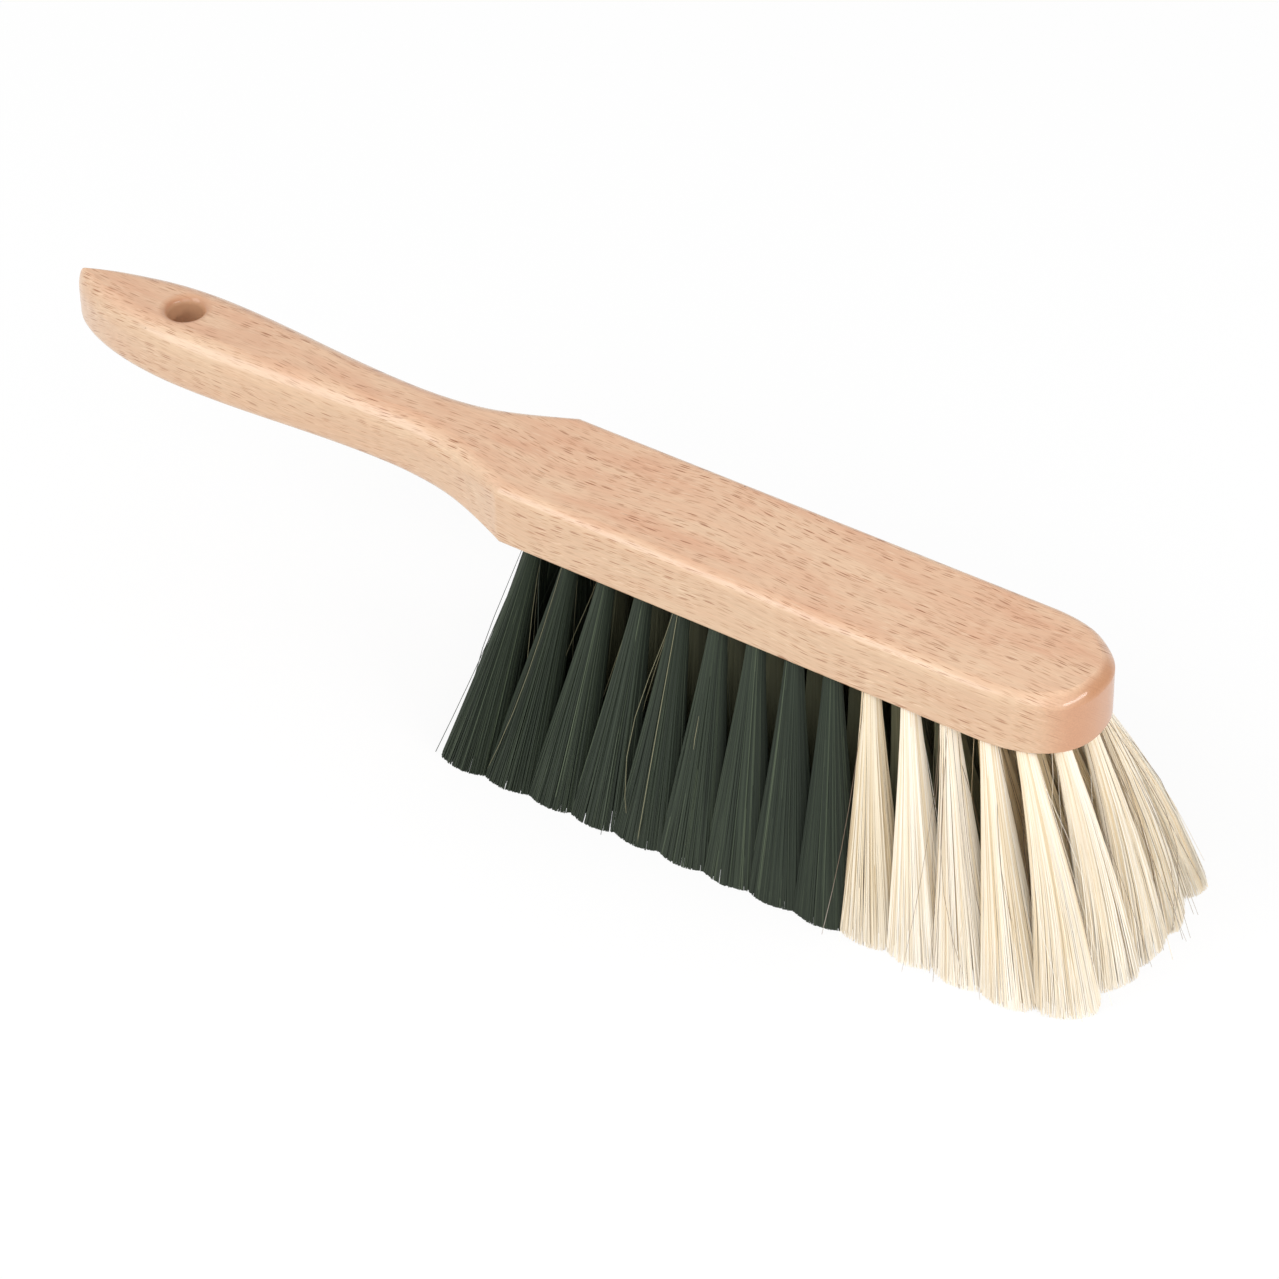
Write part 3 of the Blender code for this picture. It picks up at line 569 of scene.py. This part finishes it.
def hairTree():
    tree = bpy.data.node_groups.new("hairTuft", "GeometryNodeTree")
    tree.is_modifier = True
    tree.interface.new_socket(name="Hair", in_out="OUTPUT", socket_type="NodeSocketGeometry")
    wanted = {"Int": ["Hairs", "Steps", "Seed"], "Vector": ["Root", "Tip", "Along Reach", "Across Reach"],
              "Float": ["Radius", "Root Radius", "Crowding", "Flare", "Locks", "Lock Pull", "Lock Tone",
                        "Bow", "Frizz", "Uneven", "Jitter", "Stray Share", "Stray Bow", "Stray Thickness",
                        "Taper", "Bulge", "Odd Share", "Squareness"],
              "Material": ["Material"]}
    sockets = {}
    for kind, names in wanted.items():
        for name in names:
            made = tree.interface.new_socket(name=name, in_out="INPUT", socket_type="NodeSocket" + kind)
            key = name[0].lower() + name.replace(" ", "")[1:]
            if key in hair:
                made.default_value = hair[key]
            sockets[name] = made.identifier
    given = addNode(tree, "NodeGroupInput").outputs

    line = addNode(tree, "GeometryNodeCurvePrimitiveLine", {"Start": (0, 0, 0), "End": (0, 0, -1)})
    steps = addNode(tree, "GeometryNodeResampleCurve", {"Curve": line, "Count": given["Steps"]})
    many = addNode(tree, "GeometryNodeDuplicateElements", {"Geometry": steps, "Amount": given["Hairs"]},
                   domain="SPLINE")
    which = many.outputs["Duplicate Index"]

    # One dice roll per hair for each thing that differs from hair to hair
    rolls = {"turn": (-1, 1), "stray": (0, 1), "bowTurn": (0, 2 * math.pi), "bow": (-1, 1),
             "strayBow": (-1, 1), "short": (0, 1), "thick": (hair["leastThick"], hair["mostThick"]),
             "tone": (0, 1), "odd": (0, 1)}
    dice = {}
    for number, (name, (low, high)) in enumerate(rolls.items()):
        seed = addNode(tree, "ShaderNodeMath", {0: given["Seed"], 1: hair["seedStep"] * (number + 1)},
                       operation="ADD")
        dice[name] = addNode(tree, "FunctionNodeRandomValue", {2: low, 3: high, "ID": which, "Seed": seed},
                             data_type="FLOAT").outputs[1]

    # Each hair has one spot in a unit disc, which sets its place in the hole and among the tips, so that
    # hairs don't cross. Each spot is a golden angle on from the last one and a little further out, so that
    # they fill the disc evenly. The last spots crowd near the rim, which makes the tuft's outside and its
    # trimmed edge dense
    out = addNode(tree, "ShaderNodeMath", {0: which, 1: given["Hairs"]}, operation="DIVIDE")
    out = addNode(tree, "ShaderNodeMath", {0: out}, operation="SQRT")
    out = addNode(tree, "ShaderNodeMath", {0: out, 1: given["Crowding"]}, operation="MULTIPLY")
    rim = addNode(tree, "ShaderNodeMath", {0: dice["thick"], 1: -hair["rimSpread"], 2: hair["rimAt"]},
                  operation="MULTIPLY_ADD")
    out = addNode(tree, "ShaderNodeMath", {0: out, 1: rim}, operation="MINIMUM")
    goldenAngle = math.pi * (3 - math.sqrt(5))
    turn = addNode(tree, "ShaderNodeMath", {0: dice["turn"], 1: given["Jitter"]}, operation="MULTIPLY")
    turn = addNode(tree, "ShaderNodeMath", {0: which, 1: goldenAngle, 2: turn}, operation="MULTIPLY_ADD")
    cosine = addNode(tree, "ShaderNodeMath", {0: turn}, operation="COSINE")
    sine = addNode(tree, "ShaderNodeMath", {0: turn}, operation="SINE")
    ring = addNode(tree, "ShaderNodeCombineXYZ", {0: cosine, 1: sine})
    spot = addNode(tree, "ShaderNodeVectorMath", {0: ring, "Scale": out}, operation="SCALE")
    # Locks: tips are drawn to the middle of the Voronoi cell that they fall in, other cells for each tuft
    apart = addNode(tree, "ShaderNodeMath", {0: given["Seed"], 1: hair["lockApart"]}, operation="MULTIPLY")
    apart = addNode(tree, "ShaderNodeCombineXYZ", {2: apart})
    lockPlace = addNode(tree, "ShaderNodeVectorMath", {0: spot, 1: apart}, operation="ADD")
    lock = addNode(tree, "ShaderNodeTexVoronoi", {"Vector": lockPlace, "Scale": given["Locks"],
                                                  "Randomness": 1.0})
    lockMiddle = addNode(tree, "ShaderNodeVectorMath", {0: lock.outputs["Position"], 1: (1, 1, 0)},
                         operation="MULTIPLY")
    tipSpot = addNode(tree, "ShaderNodeMix", {0: given["Lock Pull"], 4: spot, 5: lockMiddle},
                      data_type="VECTOR")
    # The trimmed end of a tuft is squarer than its root, because its neighbours press on it
    sides = [addNode(tree, "ShaderNodeMath", {0: way}, operation="ABSOLUTE") for way in (cosine, sine)]
    larger = addNode(tree, "ShaderNodeMath", {0: sides[0], 1: sides[1]}, operation="MAXIMUM")
    larger = addNode(tree, "ShaderNodeMath", {0: larger, 1: given["Squareness"]}, operation="POWER")
    wider = addNode(tree, "ShaderNodeMath", {0: 1.0, 1: larger}, operation="DIVIDE")
    tipSpot = addNode(tree, "ShaderNodeVectorMath", {0: tipSpot.outputs[1], "Scale": wider},
                      operation="SCALE")
    tipSpot = addNode(tree, "ShaderNodeSeparateXYZ", {0: tipSpot})
    rootSpot = addNode(tree, "ShaderNodeSeparateXYZ", {0: spot})
    offsets = []
    for share, radius in ((rootSpot, given["Root Radius"]), (tipSpot, None)):
        parts = []
        for axis, reach in enumerate(("Along Reach", "Across Reach")):
            way = given[reach]
            amount = share.outputs[axis]
            if radius:
                way = addNode(tree, "ShaderNodeVectorMath", {0: way}, operation="NORMALIZE")
                amount = addNode(tree, "ShaderNodeMath", {0: amount, 1: radius}, operation="MULTIPLY")
            parts.append(addNode(tree, "ShaderNodeVectorMath", {0: way, "Scale": amount}, operation="SCALE"))
        offsets.append(addNode(tree, "ShaderNodeVectorMath", {0: parts[0], 1: parts[1]}, operation="ADD"))
    rootOffset, tipOffset = offsets

    part = addNode(tree, "GeometryNodeSplineParameter").outputs["Factor"]
    flared = addNode(tree, "ShaderNodeMath", {0: part, 1: given["Flare"]}, operation="POWER")
    middle = addNode(tree, "ShaderNodeMix", {0: part, 4: given["Root"], 5: given["Tip"]},
                     data_type="VECTOR").outputs[1]
    # The tuft as a whole leaves its hole at a wider lean than its tips end at
    lean = addNode(tree, "ShaderNodeVectorMath", {0: given["Tip"], 1: given["Root"]}, operation="SUBTRACT")
    lean = addNode(tree, "ShaderNodeVectorMath", {0: lean, 1: (1, 1, 0)}, operation="MULTIPLY")
    bulge = addNode(tree, "ShaderNodeMath", {0: part, 1: math.pi}, operation="MULTIPLY")
    bulge = addNode(tree, "ShaderNodeMath", {0: bulge}, operation="SINE")
    bulge = addNode(tree, "ShaderNodeMath", {0: bulge, 1: given["Bulge"]}, operation="MULTIPLY")
    lean = addNode(tree, "ShaderNodeVectorMath", {0: lean, "Scale": bulge}, operation="SCALE")
    middle = addNode(tree, "ShaderNodeVectorMath", {0: middle, 1: lean}, operation="ADD")
    offset = addNode(tree, "ShaderNodeMix", {0: flared, 4: rootOffset.outputs[0], 5: tipOffset.outputs[0]},
                     data_type="VECTOR").outputs[1]
    place = addNode(tree, "ShaderNodeVectorMath", {0: middle, 1: offset}, operation="ADD")

    # Bow: each hair bends a little to one side. A few strays bend far more, or lean out over the next tuft
    isStray = addNode(tree, "ShaderNodeMath", {0: dice["stray"], 1: given["Stray Share"]},
                      operation="LESS_THAN")
    strayBow = addNode(tree, "ShaderNodeMath", {0: isStray, 1: given["Stray Bow"]}, operation="MULTIPLY")
    strayBow = addNode(tree, "ShaderNodeMath", {0: strayBow, 1: dice["strayBow"]}, operation="MULTIPLY")
    bowSize = addNode(tree, "ShaderNodeMath", {0: given["Bow"], 1: dice["bow"], 2: strayBow},
                      operation="MULTIPLY_ADD")
    bowShape = addNode(tree, "ShaderNodeMath", {0: part, 1: hair["bowPower"]}, operation="POWER")
    bowShape = addNode(tree, "ShaderNodeMath", {0: bowShape, 1: math.pi}, operation="MULTIPLY")
    bowShape = addNode(tree, "ShaderNodeMath", {0: bowShape}, operation="SINE")
    leans = addNode(tree, "ShaderNodeMath", {0: dice["bow"], 1: 0.0}, operation="GREATER_THAN")
    leans = addNode(tree, "ShaderNodeMath", {0: leans, 1: isStray}, operation="MULTIPLY")
    leanShape = addNode(tree, "ShaderNodeMath", {0: part, 1: hair["leanPower"]}, operation="POWER")
    bowShape = addNode(tree, "ShaderNodeMix", {0: leans, 2: bowShape, 3: leanShape})
    bowSize = addNode(tree, "ShaderNodeMath", {0: bowSize, 1: bowShape}, operation="MULTIPLY")
    cosine = addNode(tree, "ShaderNodeMath", {0: dice["bowTurn"]}, operation="COSINE")
    sine = addNode(tree, "ShaderNodeMath", {0: dice["bowTurn"]}, operation="SINE")
    bow = addNode(tree, "ShaderNodeCombineXYZ", {0: cosine, 1: sine})
    bow = addNode(tree, "ShaderNodeVectorMath", {0: bow, "Scale": bowSize}, operation="SCALE")
    place = addNode(tree, "ShaderNodeVectorMath", {0: place, 1: bow}, operation="ADD")
    # Frizz: a slow wander that grows towards the tip
    wanderRow = addNode(tree, "ShaderNodeMath", {0: which, 1: hair["hairApart"]}, operation="MULTIPLY")
    wanderRun = addNode(tree, "ShaderNodeMath", {0: part, 1: hair["wanderTurns"]}, operation="MULTIPLY")
    wander = addNode(tree, "ShaderNodeCombineXYZ", {0: wanderRun, 1: wanderRow, 2: given["Seed"]})
    wander = addNode(tree, "ShaderNodeTexNoise", {"Vector": wander, "Scale": 1.0, "Detail": 1.0})
    wander = addNode(tree, "ShaderNodeVectorMath", {0: wander.outputs["Color"], 1: (2, 2, 0),
                                                    2: (-1, -1, 0)}, operation="MULTIPLY_ADD")
    frizz = addNode(tree, "ShaderNodeMath", {0: given["Frizz"], 1: part}, operation="MULTIPLY")
    wander = addNode(tree, "ShaderNodeVectorMath", {0: wander, "Scale": frizz}, operation="SCALE")
    place = addNode(tree, "ShaderNodeVectorMath", {0: place, 1: wander}, operation="ADD")
    # Trimmed ends: most reach the trimming plane, a few fall short of it
    short = addNode(tree, "ShaderNodeMath", {0: dice["short"], 1: hair["shortPower"]}, operation="POWER")
    short = addNode(tree, "ShaderNodeMath", {0: short, 1: given["Uneven"]}, operation="MULTIPLY")
    short = addNode(tree, "ShaderNodeMath", {0: short, 1: part}, operation="MULTIPLY")
    lift = addNode(tree, "ShaderNodeCombineXYZ", {2: short})
    place = addNode(tree, "ShaderNodeVectorMath", {0: place, 1: lift}, operation="ADD")
    placed = addNode(tree, "GeometryNodeSetPosition", {"Geometry": many, "Position": place})

    # Tone: much the same within a lock. A few odd hairs and half the strays have tone 0
    lockTone = addNode(tree, "ShaderNodeSeparateXYZ", {0: lock.outputs["Color"]})
    tone = addNode(tree, "ShaderNodeMix", {0: given["Lock Tone"], 2: dice["tone"], 3: lockTone})
    tone = addNode(tree, "ShaderNodeMapRange", {"Value": tone, "To Min": hair["plainTonesFrom"]})
    isOdd = addNode(tree, "ShaderNodeMath", {0: dice["odd"], 1: given["Odd Share"]}, operation="LESS_THAN")
    oddStray = addNode(tree, "ShaderNodeMath", {0: given["Stray Share"], 1: hair["oddStrays"]},
                       operation="MULTIPLY")
    oddStray = addNode(tree, "ShaderNodeMath", {0: dice["stray"], 1: oddStray}, operation="LESS_THAN")
    isOdd = addNode(tree, "ShaderNodeMath", {0: isOdd, 1: oddStray}, operation="MAXIMUM")
    isPlain = addNode(tree, "ShaderNodeMath", {0: 1.0, 1: isOdd}, operation="SUBTRACT")
    tone = addNode(tree, "ShaderNodeMath", {0: tone, 1: isPlain}, operation="MULTIPLY")
    toned = addNode(tree, "GeometryNodeStoreNamedAttribute",
                    {"Geometry": placed, "Name": "hairTone", "Value": tone},
                    data_type="FLOAT", domain="CURVE")
    run = addNode(tree, "GeometryNodeStoreNamedAttribute",
                  {"Geometry": toned, "Name": "alongHair", "Value": part},
                  data_type="FLOAT", domain="POINT")
    # Thickness: differs from hair to hair, and tapers. Odd hairs and strays are thinner
    tapered = addNode(tree, "ShaderNodeMath", {0: given["Taper"], 1: part}, operation="MULTIPLY")
    tapered = addNode(tree, "ShaderNodeMath", {0: 1.0, 1: tapered}, operation="SUBTRACT")
    thick = addNode(tree, "ShaderNodeMath", {0: given["Radius"], 1: dice["thick"]}, operation="MULTIPLY")
    thick = addNode(tree, "ShaderNodeMath", {0: thick, 1: tapered}, operation="MULTIPLY")
    thinned = addNode(tree, "ShaderNodeMath", {0: isOdd, 1: isStray}, operation="MAXIMUM")
    thinned = addNode(tree, "ShaderNodeMix", {0: thinned, 2: 1.0, 3: given["Stray Thickness"]})
    thick = addNode(tree, "ShaderNodeMath", {0: thick, 1: thinned}, operation="MULTIPLY")
    # Three sides, one of them turned the way that the hair leans
    turned = addNode(tree, "GeometryNodeSetCurveTilt", {"Curve": run, "Tilt": math.radians(hair["tilt"])})
    section = addNode(tree, "GeometryNodeCurvePrimitiveCircle", {"Resolution": hair["sides"], "Radius": 1.0})
    tube = addNode(tree, "GeometryNodeCurveToMesh", {"Curve": turned, "Profile Curve": section,
                                                     "Scale": thick, "Fill Caps": True})
    flat = addNode(tree, "GeometryNodeSetShadeSmooth", {"Geometry": tube, "Shade Smooth": False})
    real = addNode(tree, "GeometryNodeRealizeInstances", {"Geometry": flat})
    dressed = addNode(tree, "GeometryNodeSetMaterial", {"Geometry": real, "Material": given["Material"]})
    addNode(tree, "NodeGroupOutput", {"Hair": dressed})
    return tree, sockets


# Dark horsehair: black with a green-grey cast, low contrast, and a few pale hairs. Washed, so only a soft
# gloss. Drawn thicker towards the trimmed end, by a taper below 0, because a real tuft holds more hairs
darkHair = {
    "tones": [(0.0, "#7F7C62"), (0.09, "#7F7C62"), (0.1, "#262D24"), (0.5, "#2F372D"), (0.85, "#3C4537"),
              (1.0, "#59634F")],
    "tip": "#343A2F", "tipShare": 0.3, "roughness": 0.60, "specular": 0.2, "oddShare": 0.002,
    "strayShare": 0.006, "strayBow": 7.0 * mm, "uneven": 0.12 * mm, "spreadAlong": 2.5, "lockTone": 0.25,
    "radius": 0.138 * mm, "taper": -0.45, "frizz": 0.14 * mm,
}
# The inner rows show in the gaps. They are the same dark hair, painted lighter and browner than the edge rows
# as painted light in the shaded gaps, and their ends are as dark as the edge rows'
innerHair = dict(darkHair, tip="#363A2E", tipShare=0.9,
                 tones=[(0.0, "#66644E"), (0.09, "#66644E"), (0.1, "#50523E"), (1.0, "#5E5F49")])
# The last inner dark tufts, deep in the shade between the blond ones, are painted much lighter still: painted
# light in those gaps
paintedLightInnerHair = dict(innerHair, tones=[(0.0, "#B5AE8E"), (0.09, "#B5AE8E"), (0.1, "#777860"), (1.0, "#969478")])
# Blond horsehair: cream, with about one brown hair in forty, a little greyer at the cut tips
blondHair = {
    "tones": [(0.0, "#86705A"), (0.09, "#86705A"), (0.1, "#D8BF94"), (0.32, "#F3E3C5"), (0.6, "#FEF4E2"),
              (1.0, "#FFFCF4")],
    "tip": "#FBF5EA", "tipShare": 0.35, "roughness": 0.45, "specular": 0.5, "oddShare": 0.012,
    "strayShare": 0.030, "strayBow": 8.0 * mm, "uneven": 1.7 * mm, "spreadAlong": 2.35, "lockTone": 0.22,
    "radius": 0.124 * mm, "taper": 0.05, "frizz": 0.30 * mm,
}
# Deep between the blond tufts the light turns brown: the inner blond tufts are painted a warmer, deeper cream
# for it, as painted shade and bounce light
innerBlondHair = dict(blondHair, tipShare=0.8,
                      tones=[(0.0, "#86705A"), (0.09, "#86705A"), (0.1, "#EFD7AA"), (1.0, "#FAEAC8")])
# The blond edge tufts next to the dark ones have more dark hairs in them
firstBlondHair = dict(blondHair, oddShare=0.055,
                      tones=[(0.0, "#6E5A48"), (0.09, "#6E5A48"), (0.1, "#C6AC80"), (0.5, "#EDDDBE"),
                             (1.0, "#FBF4E5")])
# Horsehair of any colour: its trimmed end is weathered, and its scales make the gloss uneven. They are about
# 0.01 mm long, and drawn at 1 mm, so that they show
keratin = {"tipFrom": 0.75, "scaleLength": 1 * mm, "roughnessSpread": 0.06, "ior": 1.55}


def horsehair(name, look):
    material = bpy.data.materials.new(name)
    material.use_nodes = True
    tree = material.node_tree
    shader = tree.nodes["Principled BSDF"]
    tone = addNode(tree, "ShaderNodeAttribute", attribute_name="hairTone").outputs["Fac"]
    ramp = addNode(tree, "ShaderNodeValToRGB", {0: tone})
    stops = ramp.color_ramp.elements
    for count in range(len(look["tones"]) - 2):
        stops.new(0.5)
    for stop, (at, colour) in zip(stops, look["tones"]):
        stop.position = at
        stop.color = toLinear(colour)
    run = addNode(tree, "ShaderNodeAttribute", attribute_name="alongHair").outputs["Fac"]
    fade = addNode(tree, "ShaderNodeMapRange", {"Value": run, "From Min": keratin["tipFrom"], "From Max": 1.0,
                                                "To Max": look["tipShare"]})
    colour = addNode(tree, "ShaderNodeMix", {0: fade, 6: ramp, 7: toLinear(look["tip"])},
                     data_type="RGBA").outputs[2]
    tree.links.new(colour, shader.inputs["Base Color"])
    place = addNode(tree, "ShaderNodeTexCoord").outputs["Object"]
    scales = addNode(tree, "ShaderNodeTexNoise", {"Vector": place, "Scale": 1 / keratin["scaleLength"],
                                                  "Detail": 1.0})
    spread = keratin["roughnessSpread"]
    rough = addNode(tree, "ShaderNodeMapRange", {"Value": scales, "To Min": look["roughness"] - spread,
                                                 "To Max": look["roughness"] + spread})
    tree.links.new(rough.outputs[0], shader.inputs["Roughness"])
    shader.inputs["IOR"].default_value = keratin["ior"]
    shader.inputs["Specular IOR Level"].default_value = look["specular"]
    return material


def makeHair():
    tree, sockets = hairTree()
    looks = {"dark": darkHair, "blond": blondHair, "innerDark": innerHair, "innerBlond": innerBlondHair,
             "paintedLightInnerDark": paintedLightInnerHair, "mixedBlond": firstBlondHair}
    materials = {name: horsehair(name + "Horsehair", look) for name, look in looks.items()}
    pieces = []
    for number, name in enumerate(tuftNames):
        root, tip, alongReach, acrossReach = tufts[name]
        spreadAcross = hair["spreadInner"] if "inner" in name else hair["spreadAcross"]
        colour = "dark" if "dark" in name else "blond"
        # The other inner tufts take the inner looks, painted for the shade between the rows; the first inner
        # dark tufts stand in the open at the handle's end, and look as the edge rows do
        inOpen = name.endswith(("dark_tuft_01", "dark_tuft_02"))
        dress = "inner" + colour.title() if "inner" in name and not inOpen else colour
        # Painted light: the inner dark tufts between the blond ones take the lightest inner look
        if name.endswith(("dark_tuft_10", "dark_tuft_11")):
            dress = "paintedLightInnerDark"
        if name.endswith("edge_blond_tuft_10"):
            dress = "mixedBlond"
        look = looks[dress]
        start = root - (tip - root).normalized() * hair["inHole"]
        piece = bpy.data.objects.new("hair_" + name, bpy.data.meshes.new("hair_" + name))
        bpy.context.scene.collection.objects.link(piece)
        grow = piece.modifiers.new("hair", "NODES")
        grow.node_group = tree
        bulge = hair["noseBulge"] if "nose" in name else 0.0
        values = {"Seed": number + hair["firstSeed"], "Root": start, "Tip": tip, "Bulge": bulge,
                  "Along Reach": alongReach * look["spreadAlong"], "Across Reach": acrossReach * spreadAcross,
                  "Odd Share": look["oddShare"], "Stray Share": look["strayShare"],
                  "Stray Bow": look["strayBow"], "Uneven": look["uneven"], "Lock Tone": look["lockTone"],
                  "Radius": look["radius"], "Taper": look["taper"], "Frizz": look["frizz"],
                  "Material": materials[dress]}
        for key, value in values.items():
            grow[sockets[key]] = value
        pieces.append((piece, name, colour))
    bpy.context.view_layer.update()
    faces = 0
    for piece, name, colour in pieces:
        bake(piece)
        faces += len(piece.data.polygons)
        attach(piece, "root")
        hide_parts(name)
    print("hair grown:", len(pieces), "tufts,", faces, "faces")


makeHair()
